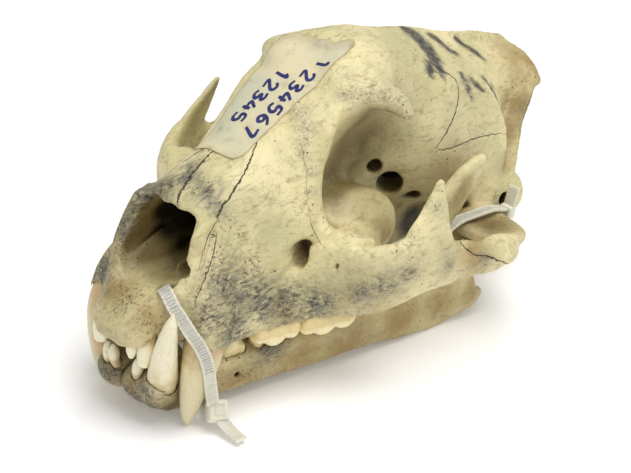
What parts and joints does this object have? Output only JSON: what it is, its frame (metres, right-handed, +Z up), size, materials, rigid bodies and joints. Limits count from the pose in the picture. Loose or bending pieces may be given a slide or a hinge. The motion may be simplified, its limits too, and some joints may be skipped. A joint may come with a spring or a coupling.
{
  "type": "leopard skull",
  "caption": "Big cat's skull with its lower jaw tied shut, long canines, open eye sockets and a paper label on the brow.",
  "frame": {"origin": "centre of the bounding box's bottom face, on the surface the skull rests on", "axes": "-Y towards the nose, +X to the animal's left, +Z up"},
  "size_m": [0.1298, 0.2084, 0.1091],
  "materials": {
    "bone": "dry matt bone, pale cream with yellow and grey stains",
    "tooth": "smooth ivory enamel",
    "nylon": "milky see-through nylon, ribbed along the strap",
    "paper": "yellowed paper, glued down"
  },
  "bodies": {
    "root": {"cranium": "bone", "mandible_left": "bone", "mandible_right": "bone", "lower_canine_left": "tooth", "lower_canine_right": "tooth", "lower_incisor_2_right": "tooth", "lower_incisor_3_left": "tooth", "lower_incisor_3_right": "tooth", "lower_molar_1_left": "tooth", "lower_molar_1_right": "tooth", "lower_premolar_3_left": "tooth", "lower_premolar_3_right": "tooth", "lower_premolar_4_left": "tooth", "lower_premolar_4_right": "tooth", "upper_canine_left": "tooth", "upper_canine_right": "tooth", "upper_incisor_2_left": "tooth", "upper_incisor_2_right": "tooth", "upper_incisor_3_left": "tooth", "upper_incisor_3_right": "tooth", "upper_premolar_3_left": "tooth", "upper_premolar_3_right": "tooth", "upper_premolar_4_left": "tooth", "upper_premolar_4_right": "tooth", "front_tie": "nylon", "rear_tie": "nylon", "label": "paper"}
  },
  "joints": []
}
